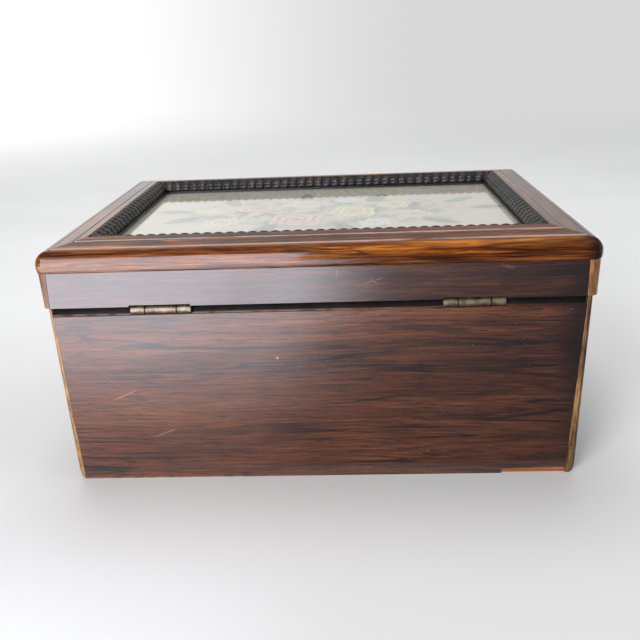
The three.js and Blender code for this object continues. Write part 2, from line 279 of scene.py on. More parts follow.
# Each layer of a wood's figure: how far it is drawn out, its own seed, and its noise
Layer = namedtuple("Layer", "stretch seed scale detail roughness distortion", defaults=(0.55, 0.0))
BROAD = Layer(6, 0, 38, 3, 0.55, 0.5)
BANDS = Layer(28, 1, 200, 4, 0.66, 0.3)
FIBRES = Layer(38, 2, 1250, 4, 0.68)
END_DARK_EDGE = Layer(4, 4, 60, 4)
STREAKS = Layer(26, 5, 210, 5, 0.68, 0.4)
RINGS = Layer(20, 6, 85, 3, 0.5, 0.3)
GATHERED = Layer(5, 7, 30, 2)
PORES = Layer(17, 8, 1300, 2, 0.6)
HAIRS = Layer(26, 9, 170, 3, 0.55, 0.2)
WAVES = Layer(2, 0, 26, 3, 0.6)
GROOVE_HIGHLIGHT_BREAKS = Layer(9, 3, 260, 3)
EDGING_FLECKS = Layer(7, 0, 900, 4, 0.7)
EDGING_STAIN = Layer(3, 1, 120, 4, 0.6)

# Each layer's share of the tone
BROAD_SHARE = 0.24
BANDS_SHARE = 0.35
FIBRES_SHARE = 0.41

# Where the dark layers begin and are full, and how dark they get
STREAK_EDGE = (0.55, 0.68)
STREAK_DEPTH = 0.55
RING_EDGE = (0.024, 0.004)
RING_DEPTH = 0.9
GATHERED_EDGE = (0.36, 0.52)
HAIR_EDGE = (0.014, 0.003)
HAIR_DEPTH = 0.55
PORE_EDGE = (0.56, 0.64)


def grain(place, along, stretch, seed):
    """The place squeezed along the grain, so that a noise read there is drawn out into fibres."""
    wander = {"Vector": place, "Scale": SWAY_SCALE, "Detail": 1.0}
    drift = Wire.node(place.tree, "ShaderNodeTexNoise", None, wander, "Color")
    sway = {0: drift, 1: (GRAIN_SWAY, GRAIN_SWAY, GRAIN_SWAY), 2: place}
    swayed = Wire.node(place.tree, "ShaderNodeVectorMath", {"operation": "MULTIPLY_ADD"}, sway)
    scale = [1.0, 1.0, 1.0]
    scale[GRAIN_AXES[along]] = 1.0 / stretch
    location = tuple(seed * step for step in SEED_STEPS)
    values = {"Vector": swayed, "Location": location, "Scale": scale}
    return Wire.node(place.tree, "ShaderNodeMapping", None, values)


def drawn(place, along, seed, layer):
    """One layer of the figure, drawn out along the grain."""
    stretched = grain(place, along, layer.stretch, seed + layer.seed)
    return noise(stretched, layer.scale, layer.detail, layer.roughness, layer.distortion)


def wood_tone(place, along, seed):
    """Broad figure, bands and fine fibres as one value from 0 to 1, with the fibres by themselves."""
    broad = drawn(place, along, seed, BROAD)
    bands = drawn(place, along, seed, BANDS)
    fibres = drawn(place, along, seed, FIBRES)
    return broad * BROAD_SHARE + bands * BANDS_SHARE + fibres * FIBRES_SHARE, fibres


def dark_figure(place, along, seed):
    """Near-black streaks and thin growth lines that run with the grain."""
    streaks = drawn(place, along, seed, STREAKS).step(*STREAK_EDGE)
    rings = abs(drawn(place, along, seed, RINGS) - NOISE_MIDDLE).step(*RING_EDGE)
    hairs = abs(drawn(place, along, seed, HAIRS) - NOISE_MIDDLE).step(*HAIR_EDGE)
    gathered = drawn(place, along, seed, GATHERED).step(*GATHERED_EDGE)
    return (streaks * STREAK_DEPTH).most(rings * gathered * RING_DEPTH).most(hairs * HAIR_DEPTH)


def pores(place, along, seed):
    """Short dark lines of open pores."""
    return drawn(place, along, seed, PORES).step(*PORE_EDGE)


# Veneer

ROSEWOOD_STOPS = [
    (0.38, (0.036, 0.0165, 0.0125)),
    (0.46, (0.084, 0.0285, 0.0150)),
    (0.53, (0.134, 0.0435, 0.0195)),
    (0.62, (0.205, 0.072, 0.030)),
]
ROSEWOOD_DARK = (0.017, 0.0105, 0.0100)
VENEER_PORES = 0.75
VENEER_WAVE = 0.4
WAVE_DEPTH = 2 * MM
FIBRE_RISE = 0.05
PORE_SINK = 0.025
VENEER_ROUGHNESS = 0.2
HAZE_SCALE = 28
HAZE_ROUGHNESS = 0.18
FIBRE_ROUGHNESS = 0.08
VENEER_COAT_ROUGHNESS = 0.14

# Slow change of tone: its slope towards +X at the foot, what that loses by the top, and its fall to the foot
DRIFT_AT_FOOT = 2.2
DRIFT_LOST = 2.6
DRIFT_DOWN = 0.4

# Scratches and specks
SCRATCH_COLOUR = (0.40, 0.23, 0.16)
SCRATCH_START = 0.25
SCRATCH_END = 0.7
SCRATCH_CORE = 0.2
SPECK_SCALE = 760
SPECK_EDGE = (0.75, 0.79)
SPECK_DEPTH = 0.4
MARK_BREAK_SCALE = 900
MARK_BREAK_EDGE = (0.3, 0.5)

# Near-black over the -X end
END_DARK_FROM = 26 * MM
END_DARK_FULL = 7 * MM
END_DARK_RAG = 24 * MM
END_DARK_NARROWS = 14 * MM
END_DARK_DEPTH = 0.86

# Worn foot, and a painted highlight along the top edge: heights from the edge, patches, and the stretch
# along X
PATCH_SCALE = 120
RAW_EDGE_COLOUR = (0.30, 0.105, 0.045)
FOOT_WEAR = (1.5 * MM, 0.5 * MM)
FOOT_PATCHES = (0.4, 0.52)
FOOT_STRETCH = (-0.02, 0.06)
TOP_HIGHLIGHT_COLOUR = (0.30, 0.22, 0.20)
TOP_HIGHLIGHT_BAND = (-0.9 * MM, -0.3 * MM)
TOP_HIGHLIGHT_PATCHES = (0.35, 0.55)
TOP_HIGHLIGHT_STRETCH = (-0.07, 0.0)
TOP_HIGHLIGHT_DEPTH = 0.6


def scratch(place, start, end, width):
    """1 along a straight scratch on an upright face, from one (x, z) to another."""
    x, _, z = parts_of(place)
    run = Vector((end[0] - start[0], end[1] - start[1]))
    length = run.length
    along = ((x - start[0]) * (run.x / length) + (z - start[1]) * (run.y / length)) / length
    aside = abs((x - start[0]) * (run.y / length) - (z - start[1]) * (run.x / length))
    taper = along.step(0.0, SCRATCH_START) * along.step(1.0, SCRATCH_END)
    return aside.step(width, width * SCRATCH_CORE) * taper


def worn_marks(place, colour, marks):
    """Pale scratches and specks over a wood's colour."""
    worn = noise(place, SPECK_SCALE, 1).step(*SPECK_EDGE) * SPECK_DEPTH
    for start, end, width, strength in marks:
        worn = worn.most(scratch(place, start, end, width) * strength)
    broken = worn * noise(place, MARK_BREAK_SCALE, 2).step(*MARK_BREAK_EDGE)
    return broken.blend(colour, rgba(SCRATCH_COLOUR))


def slow_tone_drift(x, z):
    """A slow change of tone: darker towards -X and the foot, and paler low down towards +X."""
    height = z / CASE_TOP
    paler = x.most(0.0) * (DRIFT_AT_FOOT - height * DRIFT_LOST)
    return x.least(0.0) + paler + (height - 1) * (DRIFT_DOWN * CASE_X)


def end_darkening(place, along, seed, end):
    """Near-black over the end at x = end, with a ragged edge that draws back towards the foot."""
    x, _, z = parts_of(place)
    ragged = drawn(place, along, seed, END_DARK_EDGE) * END_DARK_RAG - END_DARK_RAG / 2
    reach = x + (1 - z / CASE_TOP) * END_DARK_NARROWS + ragged
    return reach.step(end + END_DARK_FROM, end + END_DARK_FULL) * END_DARK_DEPTH


def worn_foot_lit_top(place, colour):
    """Patches of raw wood along the case's foot, and a painted highlight line along its top edge."""
    x, _, z = parts_of(place)
    patchy = noise(place, PATCH_SCALE, 3)
    raw = z.step(*FOOT_WEAR) * patchy.step(*FOOT_PATCHES) * x.step(*FOOT_STRETCH)
    colour = raw.blend(colour, rgba(RAW_EDGE_COLOUR))
    # Painted highlight: a pale line along the top edge, in patches
    rubbed_and_highlit = (z - CASE_TOP).step(*TOP_HIGHLIGHT_BAND) * patchy.step(*TOP_HIGHLIGHT_PATCHES) * x.step(*TOP_HIGHLIGHT_STRETCH)
    return (rubbed_and_highlit * TOP_HIGHLIGHT_DEPTH).blend(colour, rgba(TOP_HIGHLIGHT_COLOUR))


def rosewood(name, along, seed, polish, wave=VENEER_WAVE, shade=0.0, tone_drift=0.0,
             marks=(), blackened_end=None, edges=False):
    """Polished veneer, a little wavy and darkened by shade. Its tone may drift slowly, it may carry marks,
    be blackened at its -X end, and be worn along its foot with a painted highlight along its top edge."""
    material, tree = new_tree(name)
    place = object_place(tree)
    x, _, z = parts_of(place)
    tone, fibres = wood_tone(place, along, seed)
    tone = tone + slow_tone_drift(x, z) * (tone_drift / CASE_X) - shade
    open_pores = pores(place, along, seed)
    dark = dark_figure(place, along, seed).most(open_pores * VENEER_PORES)
    if blackened_end:
        dark = dark.most(end_darkening(place, along, seed, blackened_end))
    colour = dark.blend(tone.ramp(ROSEWOOD_STOPS), rgba(ROSEWOOD_DARK))
    if edges:
        colour = worn_foot_lit_top(place, colour)
    if marks:
        colour = worn_marks(place, colour, marks)
    haze = noise(place, HAZE_SCALE, *CLOUDY)
    roughness = VENEER_ROUGHNESS + haze * HAZE_ROUGHNESS + fibres * FIBRE_ROUGHNESS
    height = drawn(place, along, seed, WAVES) + fibres * FIBRE_RISE - open_pores * PORE_SINK
    surface(tree, colour, roughness, (height, wave, WAVE_DEPTH),
            Coat_Weight=polish, Coat_Roughness=VENEER_COAT_ROUGHNESS)
    return material


# Frame moulding

MOULDING_STOPS = [
    (0.41, (0.03, 0.0085, 0.003)),
    (0.47, (0.13, 0.032, 0.005)),
    (0.53, (0.28, 0.077, 0.009)),
    (0.6, (0.52, 0.19, 0.03)),
]
MOULDING_DARK = (0.016, 0.0065, 0.004)
MOULDING_LINE_SEED = 3
MOULDING_LINES = 0.85
MOULDING_PORES = 0.4
# Painted shade: the moulding darkens towards its -X end and goes near-black over the end itself
MOULDING_END_SHADE = 0.008
MOULDING_BUMP = (0.2, 0.2 * MM)
SHADED_END_FROM = 13 * MM
SHADED_END_FULL = 2 * MM
# Painted light: the flats darkened by painted shade, and the round nose painted paler gold as a glow
FLAT_SHADE = 0.028
NOSE_DEPTH = 3 * MM
NOSE_GLOW = 0.02
NOSE_COAT = 0.6
FLAT_COAT = 0.06
MOULDING_COAT_ROUGHNESS = 0.08
MOULDING_ROUGHNESS = 0.13
WORN_SCALE = 40
WORN_ROUGHNESS = 0.15
# Painted highlight: pale grey lines along the grooves' far walls
GROOVE_HIGHLIGHT_COLOUR = (0.48, 0.45, 0.43)
GROOVE_HIGHLIGHT_DEPTH = 0.7
GROOVE_HIGHLIGHT_EDGE = (0.25, 0.5)


def groove_highlight(place, along):
    """Painted grey highlight along the far walls of the moulding's two grooves."""
    x, y, _ = parts_of(place)
    inset = LID_Y - abs(y) if along == "X" else LID_X - abs(x)
    line = None
    for groove in (ROUND_INSET, INNER_GROOVE_INSET):
        crest = groove + GROOVE_WIDTH
        rise = inset.step(crest - GROOVE_WIDTH / 2, crest - GROOVE_WIDTH / 4)
        wall = rise * inset.step(crest + GROOVE_WIDTH / 5, crest)
        line = line.most(wall) if line else wall
    return line * drawn(place, along, 0.0, GROOVE_HIGHLIGHT_BREAKS).step(*GROOVE_HIGHLIGHT_EDGE)


def moulding_wood(name, along, seed, shine, shaded_end=None):
    """Deep brown on the flats, painted paler gold on the round nose as a painted glow. Painted shade may
    blacken one end, at -X.
    """
    material, tree = new_tree(name)
    place = object_place(tree)
    x, _, z = parts_of(place)
    tone, fibres = wood_tone(place, along, seed)
    nose = z.step(ROUND_HEIGHT, ROUND_HEIGHT - NOSE_DEPTH)
    # Painted glow on the nose, over painted shade on the flats
    tone = tone + nose * NOSE_GLOW - FLAT_SHADE
    figure = dark_figure(place, along, seed + MOULDING_LINE_SEED)
    lines = figure.most(pores(place, along, seed) * MOULDING_PORES) * MOULDING_LINES
    # Painted shade: darker towards the -X end, near-black over its last few millimetres
    if shaded_end:
        tone = tone + x.least(0.0) * (-MOULDING_END_SHADE / shaded_end)
        lines = lines.most(x.step(shaded_end + SHADED_END_FROM, shaded_end + SHADED_END_FULL))
    colour = lines.blend(tone.ramp(MOULDING_STOPS), rgba(MOULDING_DARK))
    colour = (groove_highlight(place, along) * GROOVE_HIGHLIGHT_DEPTH).blend(colour, rgba(GROOVE_HIGHLIGHT_COLOUR))
    roughness = MOULDING_ROUGHNESS + noise(place, WORN_SCALE, *CLOUDY) * WORN_ROUGHNESS
    surface(tree, colour, roughness, (fibres, *MOULDING_BUMP), Specular_IOR_Level=shine,
            Coat_Weight=nose * NOSE_COAT + FLAT_COAT, Coat_Roughness=MOULDING_COAT_ROUGHNESS)
    return material


# Bare wood and edgings

CARCASE_STOPS = [(0.38, (0.13, 0.062, 0.03)), (0.5, (0.22, 0.115, 0.056)), (0.62, (0.31, 0.175, 0.09))]
RAW_STOPS = [(0.4, (0.2, 0.055, 0.011)), (0.5, (0.42, 0.13, 0.026)), (0.6, (0.56, 0.2, 0.05))]
CARCASE_ROUGHNESS = 0.6
RAW_ROUGHNESS = 0.7
BARE_FIBRE_ROUGHNESS = 0.12
BARE_BUMP = (0.35, 0.3 * MM)
STAIN_SCALE = 22
STAIN_EDGE = (0.55, 0.8)
STAIN_SHADE = 0.8
EDGING_STOPS = {
    "tan": [(0.38, (0.11, 0.05, 0.015)), (0.5, (0.36, 0.18, 0.055)), (0.62, (0.55, 0.31, 0.105))],
    "brown": [(0.38, (0.035, 0.016, 0.006)), (0.5, (0.23, 0.11, 0.036)), (0.62, (0.45, 0.25, 0.09))],
    "russet": [(0.38, (0.05, 0.02, 0.011)), (0.5, (0.16, 0.066, 0.036)), (0.62, (0.3, 0.145, 0.082))],
    "orange": [(0.38, (0.07, 0.025, 0.007)), (0.5, (0.26, 0.105, 0.032)), (0.62, (0.5, 0.23, 0.075))],
}
EDGING_FLECK_SHARE = 0.55
EDGING_STAIN_SHARE = 0.45
EDGING_ROUGHNESS = 0.36
EDGING_FLECK_ROUGHNESS = 0.25
EDGING_BUMP = (0.4, 0.3 * MM)
EDGING_SEAM = CASE_X - 0.6 * MM
SEAM_WANDER = 1.2 * MM
SEAM_EDGE = (0.45 * MM, 0.1 * MM)
SEAM_DEPTH = 0.8
SEAM_SHADE = 0.5


def plain_wood(name, along, seed, stops, roughness):
    """Bare or rubbed wood, from dark to light stops."""
    material, tree = new_tree(name)
    place = object_place(tree)
    tone, fibres = wood_tone(place, along, seed)
    stain = noise(place, STAIN_SCALE, *CLOUDY).step(*STAIN_EDGE)
    colour = stain.blend(tone.ramp(stops), rgba(Vector(stops[0][1]) * STAIN_SHADE))
    surface(tree, colour, roughness + BARE_FIBRE_ROUGHNESS * fibres, (fibres, *BARE_BUMP))
    return material


def worn_edging(name, seed, stops, seam=None):
    """Rubbed edging, short in the grain. A seam is the |x| of a dark joint down its length."""
    material, tree = new_tree(name)
    place = object_place(tree)
    flecks = drawn(place, "Z", seed, EDGING_FLECKS)
    stain = drawn(place, "Z", seed, EDGING_STAIN)
    colour = (flecks * EDGING_FLECK_SHARE + stain * EDGING_STAIN_SHARE).ramp(stops)
    if seam:
        x, _, _ = parts_of(place)
        joint = abs(abs(x) - seam + stain * SEAM_WANDER).step(*SEAM_EDGE)
        colour = (joint * SEAM_DEPTH).blend(colour, rgba(Vector(stops[0][1]) * SEAM_SHADE))
    surface(tree, colour, EDGING_ROUGHNESS + EDGING_FLECK_ROUGHNESS * flecks, (flecks, *EDGING_BUMP))
    return material


# Ebonised wood, brass and glass

EBONISED_STOPS = [(0.35, (0.0055, 0.005, 0.0053)), (0.7, (0.019, 0.017, 0.0165))]
EBONISED_ROUGHNESS = 0.3
EBONISED_BUMP = (0.3, 0.2 * MM)
DUST_SCALE = 60
DUST_SHARE = 0.5
DUST_ROUGHNESS = 0.25
CREST_COLOUR = (0.085, 0.066, 0.056)
CREST_EDGE = (0.45, 1.0)
CREST_BREAK_SCALE = 180
CREST_BREAK_EDGE = (0.35, 0.65)
CREST_RUB = 0.7
BRASS_STOPS = [(0.36, (0.07, 0.053, 0.034)), (0.5, (0.165, 0.13, 0.084)), (0.62, (0.27, 0.225, 0.15))]
# Painted shade in the joints between the knuckles
KNUCKLE_GAP_SHADE = (0.018, 0.014, 0.01)
KNUCKLE_GAP_SHADE_EDGE = (0.7 * MM, 0.2 * MM)
KNUCKLE_GAP_SHADE_DEPTH = 0.85
BRASS_METAL = 0.6
BRASS_ROUGHNESS = 0.26
BRASS_BUMP = (0.1, 0.1 * MM)
TARNISH_SCALE = 210
TARNISH_ROUGHNESS = 0.24
GLASS_TINT = (0.96, 0.98, 0.965)
GLASS_ROUGHNESS = 0.02
GLASS_IOR = 1.5


def ebonised(name, along, seed, shine, crest=False):
    """Black stained wood. Where the piece has crests, they are rubbed a little paler."""
    material, tree = new_tree(name)
    place = object_place(tree)
    fibres = drawn(place, along, seed, FIBRES)
    dust = noise(place, DUST_SCALE, *CLOUDY)
    colour = (fibres * (1 - DUST_SHARE) + dust * DUST_SHARE).ramp(EBONISED_STOPS)
    if crest:
        height = Wire.node(tree, "ShaderNodeAttribute", {"attribute_name": "crest"}, out="Fac")
        rubbed_and_highlit = height.step(*CREST_EDGE) * noise(place, CREST_BREAK_SCALE, 3).step(*CREST_BREAK_EDGE)
        colour = (rubbed_and_highlit * CREST_RUB).blend(colour, rgba(CREST_COLOUR))
    roughness = EBONISED_ROUGHNESS + DUST_ROUGHNESS * dust
    surface(tree, colour, roughness, (fibres, *EBONISED_BUMP), Specular_IOR_Level=shine)
    return material


def aged_brass(name):
    """Dull brass, with painted shade in the joints between the knuckles."""
    material, tree = new_tree(name)
    place = object_place(tree)
    tarnish = noise(place, TARNISH_SCALE, *CLOUDY)
    x, _, _ = parts_of(place)
    joint = abs(abs(abs(x) - HINGE_CENTRE) - KNUCKLE_JOINT).step(*KNUCKLE_GAP_SHADE_EDGE)
    colour = (joint * KNUCKLE_GAP_SHADE_DEPTH).blend(tarnish.ramp(BRASS_STOPS), rgba(KNUCKLE_GAP_SHADE))
    roughness = BRASS_ROUGHNESS + TARNISH_ROUGHNESS * tarnish
    surface(tree, colour, roughness, (tarnish, *BRASS_BUMP), Metallic=BRASS_METAL)
    return material


def clear_glass(name):
    material, tree = new_tree(name)
    surface(tree, rgba(GLASS_TINT), GLASS_ROUGHNESS, Transmission_Weight=1.0, IOR=GLASS_IOR)
    return material


# Picture: a loose spray of garden flowers painted on a cream card

CREAM = (0.63, 0.58, 0.49)
PETALS = {
    "pink": ((0.42, 0.21, 0.20), (0.80, 0.66, 0.63)),
    "cream": ((0.48, 0.40, 0.18), (0.84, 0.80, 0.60)),
    "blush": ((0.50, 0.32, 0.27), (0.84, 0.76, 0.70)),
    "white": ((0.42, 0.43, 0.40), (0.84, 0.85, 0.82)),
}
LEAF_GREENS = ((0.10, 0.145, 0.125), (0.27, 0.31, 0.25))
CARD_STOPS = [(0.3, Vector(CREAM) * 0.86), (0.65, CREAM)]
CARD_AGE_SCALE = 14
CARD_ROUGHNESS = 0.85
CARD_BUMP = (0.1, 0.1 * MM)
BRUSH_SCALE = 130
BRUSH_WANDER = 4 * MM
CROSS_BRUSH_SCALE = 150

# Foliage behind the flowers
FOLIAGE_HALF_LENGTH = 0.095
FOLIAGE_HALF_WIDTH = 0.044
FOLIAGE_SCALE = 85
FOLIAGE_EDGE = (0.44, 0.58)
FOLIAGE_SPREAD = (1.05, 0.35)
FOLIAGE_BRUSH = (0.35, 0.65)
FOLIAGE_DEPTH = 0.72

# Leaves and petals: soft edges, brush strokes and how far each covers what is under it
LEAF_EDGE = (-0.05, 0.2)
RIB_EDGE = (0.16, 0.04)
LEAF_BRUSH = 0.8
LEAF_RIB = 0.35
LEAF_DEPTH = 0.7
PETAL_EDGE = (-0.02, 0.12)
PETAL_DIP = 0.2
PETAL_TWIST = 1.5
PETAL_LAYERS = 3
PETAL_LAYER_SWAY = 0.3
FOLD_EDGE = (0.0, 0.9)
PETAL_FOLDS = 0.75
PETAL_BRUSH = 0.3
HEART_EDGE = (0.3, 0.05)
HEART_DEPTH = 0.6
HEART_SHADE = 0.75
FLOWER_DEPTH = 0.88

# Each flower: place across and up the card, radius, petal colour, number of petals and turn
FLOWER_COLOUR = 3
FLOWERS = [
    (-0.072, 0.010, 0.009, "cream", 5, 0.3),
    (-0.058, -0.020, 0.012, "blush", 6, 1.1),
    (-0.040, 0.014, 0.014, "pink", 5, 0.6),
    (-0.014, -0.018, 0.018, "pink", 6, 2.0),
    (-0.010, 0.022, 0.013, "blush", 6, 2.9),
    (0.016, 0.030, 0.009, "white", 7, 0.2),
    (0.020, -0.002, 0.016, "cream", 5, 1.7),
    (0.032, -0.030, 0.010, "white", 6, 0.9),
    (0.046, 0.014, 0.012, "cream", 6, 2.6),
    (0.056, -0.012, 0.011, "blush", 5, 0.1),
    (0.078, 0.004, 0.009, "pink", 5, 1.4),
]
# Each leaf: place of its middle, half length, half width and direction in degrees
LEAVES = [
    (-0.092, 0.010, 0.014, 0.005, 170),
    (-0.082, -0.012, 0.015, 0.006, 215),
    (-0.058, 0.030, 0.013, 0.005, 120),
    (-0.030, -0.038, 0.014, 0.006, 255),
    (-0.010, 0.040, 0.014, 0.005, 95),
    (0.016, -0.042, 0.015, 0.006, 285),
    (0.036, 0.034, 0.014, 0.006, 60),
    (0.032, -0.030, 0.013, 0.005, 300),
    (0.070, -0.030, 0.014, 0.005, 325),
    (0.088, 0.022, 0.014, 0.005, 35),
    (0.102, 0.000, 0.013, 0.005, 5),
    (-0.044, 0.006, 0.014, 0.006, 200),
    (0.052, 0.012, 0.014, 0.006, 20),
]


def leaf_mask(x, y, leaf):
    """The leaf's shape, and a value that is 1 on its midrib."""
    middle_x, middle_y, length, width, degrees = leaf
    cosine, sine = math.cos(math.radians(degrees)), math.sin(math.radians(degrees))
    along = ((x - middle_x) * cosine + (y - middle_y) * sine) / length
    aside = abs((y - middle_y) * cosine - (x - middle_x) * sine) / width
    edge = 1 - along * along
    return (edge - aside).step(*LEAF_EDGE), aside.step(*RIB_EDGE)


def flower_mask(x, y, flower):
    """The flower's shape, the light and dark of its layered petals, and its heart."""
    middle_x, middle_y, radius, _, petals, turn = flower
    across = (x - middle_x) / radius
    up = (y - middle_y) / radius
    reach = (across * across + up * up).root()
    bearing = up.maths("ARCTAN2", up, across)
    lobes = abs((bearing * (petals / 2) + turn + reach * PETAL_TWIST).sine())
    scallop = 1 - PETAL_DIP + PETAL_DIP * lobes
    layered = reach / scallop * PETAL_LAYERS + (bearing * 2 + turn).sine() * PETAL_LAYER_SWAY
    folds = layered.maths("FRACT", layered).step(*FOLD_EDGE)
    return (scallop - reach).step(*PETAL_EDGE), folds, reach.step(*HEART_EDGE)


def painted_card(name):
    """The painting, with its foot towards the hinges."""
    material, tree = new_tree(name)
    place = object_place(tree)
    brush = noise(place, BRUSH_SCALE, *CLOUDY)
    cross_brush = noise(place, CROSS_BRUSH_SCALE, 3)
    x, y, _ = parts_of(place)
    x = x * -1 + brush * BRUSH_WANDER - BRUSH_WANDER / 2
    y = y * -1 + cross_brush * BRUSH_WANDER - BRUSH_WANDER / 2
    colour = noise(place, CARD_AGE_SCALE, 5, 0.6).ramp(CARD_STOPS)
    dark_green, pale_green = (rgba(green) for green in LEAF_GREENS)
    spread = x * x / FOLIAGE_HALF_LENGTH ** 2 + y * y / FOLIAGE_HALF_WIDTH ** 2
    clumps = noise(place, FOLIAGE_SCALE, 5, 0.65, 0.6).step(*FOLIAGE_EDGE)
    foliage = clumps * spread.step(*FOLIAGE_SPREAD)
    mass = brush.step(*FOLIAGE_BRUSH).blend(dark_green, pale_green)
    colour = (foliage * FOLIAGE_DEPTH).blend(colour, mass)
    for leaf in LEAVES:
        mask, rib = leaf_mask(x, y, leaf)
        green = (brush * LEAF_BRUSH + rib * LEAF_RIB).blend(dark_green, pale_green)
        colour = (mask * LEAF_DEPTH).blend(colour, green)
    for flower in FLOWERS:
        deep, light = PETALS[flower[FLOWER_COLOUR]]
        mask, folds, heart = flower_mask(x, y, flower)
        petal = (folds * PETAL_FOLDS + brush * PETAL_BRUSH).blend(rgba(deep), rgba(light))
        petal = (heart * HEART_DEPTH).blend(petal, rgba(Vector(deep) * HEART_SHADE))
        colour = (mask * FLOWER_DEPTH).blend(colour, petal)
    surface(tree, colour, CARD_ROUGHNESS, (brush, *CARD_BUMP))
    return material


# Meshes

def piece(name, mesh, material, body, slot, *replaced):
    """One finished piece: its mesh, finish, body and the solids it stands for. Its record slot is not used.
    """
    made = bpy.data.objects.new(name, mesh)
    bpy.context.scene.collection.objects.link(made)
    if material:
        made.data.materials.clear()
        made.data.materials.append(material)
    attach(made, body)
    if replaced:
        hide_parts(*replaced)
    return made


def mesh_from(work, name, smooth_angle=None):
    mesh = bpy.data.meshes.new(name)
    work.to_mesh(mesh)
    work.free()
    if smooth_angle is not None:
        mesh.shade_smooth()
        mesh.set_sharp_from_angle(angle=math.radians(smooth_angle))
    return mesh


def joined_copy(node):
    """A CAD solid's mesh with its triangles joined into whole faces."""
    work = bmesh.new()
    work.from_mesh(nodes[node].data)
    bmesh.ops.remove_doubles(work, verts=work.verts, dist=WELD)
    bmesh.ops.dissolve_limit(work, angle_limit=FLAT_WITHIN, verts=work.verts, edges=work.edges)
    return work


def eased(node, width, material, body, slot):
    """A solid with its edges eased, standing for the CAD node. Its flat faces stay flat to the eye."""
    work = joined_copy(node)
    sharp = [edge for edge in work.edges if edge.calc_face_angle(0.0) > EASED_FROM]
    made = bmesh.ops.bevel(work, geom=sharp, offset=width, segments=EASE_SEGMENTS,
                           profile=EASE_PROFILE, affect="EDGES", clamp_overlap=True)
    rounds = set(made["faces"])
    for face in work.faces:
        face.smooth = True
    for edge in work.edges:
        leaves_round = sum(face in rounds for face in edge.link_faces) == 1
        edge.smooth = not leaves_round and edge.calc_face_angle(0.0) < EASED_FROM
    mesh = mesh_from(work, f"{node}_eased")
    return piece(f"{node}_eased", mesh, material, body, slot, node)


def pane(material):
    """The eased glass, a hair clear of the card, and letting the light through to it."""
    glass = eased("picture_glass", GLASS_EASE, material, "lid", "picture_glass")
    for vertex in glass.data.vertices:
        if vertex.co.z < GLASS_TOP - GLASS_EASE:
            vertex.co.z += GLASS_GAP
    glass.visible_shadow = False


def swept(rings):
    """A solid through rings of points, with its ends closed."""
    work = bmesh.new()
    rows = [[work.verts.new(point) for point in ring] for ring in rings]
    count = len(rings[0])
    for near, far in zip(rows, rows[1:]):
        for i in range(count):
            j = (i + 1) % count
            work.faces.new((near[i], near[j], far[j], far[i]))
    work.faces.new(rows[0][::-1])
    work.faces.new(rows[-1])
    bmesh.ops.remove_doubles(work, verts=work.verts, dist=WELD)
    bmesh.ops.dissolve_degenerate(work, edges=work.edges, dist=SLIVER)
    bmesh.ops.recalc_face_normals(work, faces=work.faces)
    return work


SIDES = ["back", "left", "front", "right"]


def side_sizes(side):
    """Half the lid's length along a side, and how far out that side is."""
    return (LID_X, LID_Y) if side in ("back", "front") else (LID_Y, LID_X)


def turned(mesh, side):
    """A mesh made along the back, turned to its own side of the lid."""
    mesh.transform(Matrix.Rotation(SIDES.index(side) * math.pi / 2, 4, "Z"))
    return mesh


def frame_section():
    """The frame moulding's section as insets and heights, round from the lip's inner foot."""
    points = [(LIP, SHOULDER)]
    rise = ROUND_SPRING - SHOULDER
    for step in range(ROUND_STEPS // 2 + 1):
        share = step / (ROUND_STEPS // 2)
        points.append((-BULGE * (1 - (1 - share) ** 2), SHOULDER + rise * share ** 2))
    for step in range(1, ROUND_STEPS + 1):
        turn = math.pi / 2 * step / ROUND_STEPS
        inset = ROUND_INSET - (ROUND_INSET + BULGE) * math.cos(turn)
        points.append((inset, ROUND_SPRING + (ROUND_HEIGHT - ROUND_SPRING) * math.sin(turn)))
    points.append((ROUND_INSET + GROOVE_WIDTH / 3, ROUND_HEIGHT - GROOVE_DEPTH))
    points.append((ROUND_INSET + GROOVE_WIDTH, ROUND_HEIGHT + GROOVE_DEPTH))
    points.append((INNER_GROOVE_INSET, INNER_GROOVE_HEIGHT))
    points.append((INNER_GROOVE_INSET + GROOVE_WIDTH / 3, INNER_GROOVE_HEIGHT - GROOVE_DEPTH))
    points.append((INNER_GROOVE_INSET + GROOVE_WIDTH, INNER_GROOVE_HEIGHT + GROOVE_DEPTH / 2))
    for step in range(CREST_STEPS + 1):
        turn = math.pi / 2 * step / CREST_STEPS
        inset = FRAME_WIDTH - CREST_ROUND * (1 - math.sin(turn))
        points.append((inset, CREST - CREST_ROUND * (1 - math.cos(turn))))
    points += [(FRAME_WIDTH, GLASS_TOP), (REBATE_INSET, GLASS_TOP)]
    points += [(REBATE_INSET, PANEL_TOP), (LIP, PANEL_TOP)]
    return points


def frame_place(inset, height, half, out, end, turn):
    """A point of the moulding at one end, part of the way round its rounded corner."""
    radius = CORNER_ROUND - inset - BULGE
    if radius <= 0:
        return (end * (half - inset), out - inset, height)
    middle = Vector((half + BULGE - CORNER_ROUND, out + BULGE - CORNER_ROUND))
    return (end * (middle.x + radius * math.sin(turn)), middle.y + radius * math.cos(turn), height)


def frame_moulding(side, material):
    half, out = side_sizes(side)
    section = frame_section()
    turns = [math.pi / 4 * step / CORNER_STEPS for step in range(CORNER_STEPS + 1)]
    stations = [(-1, turn) for turn in reversed(turns)] + [(1, turn) for turn in turns]
    rings = [[frame_place(*point, half, out, *station) for point in section] for station in stations]
    mesh = turned(mesh_from(swept(rings), f"frame_{side}", MOULDING_SMOOTH), side)
    solid = f"frame_{side}_moulding"
    return piece(f"frame_{side}_length", mesh, material, "lid", "rosewood_moulding", solid)


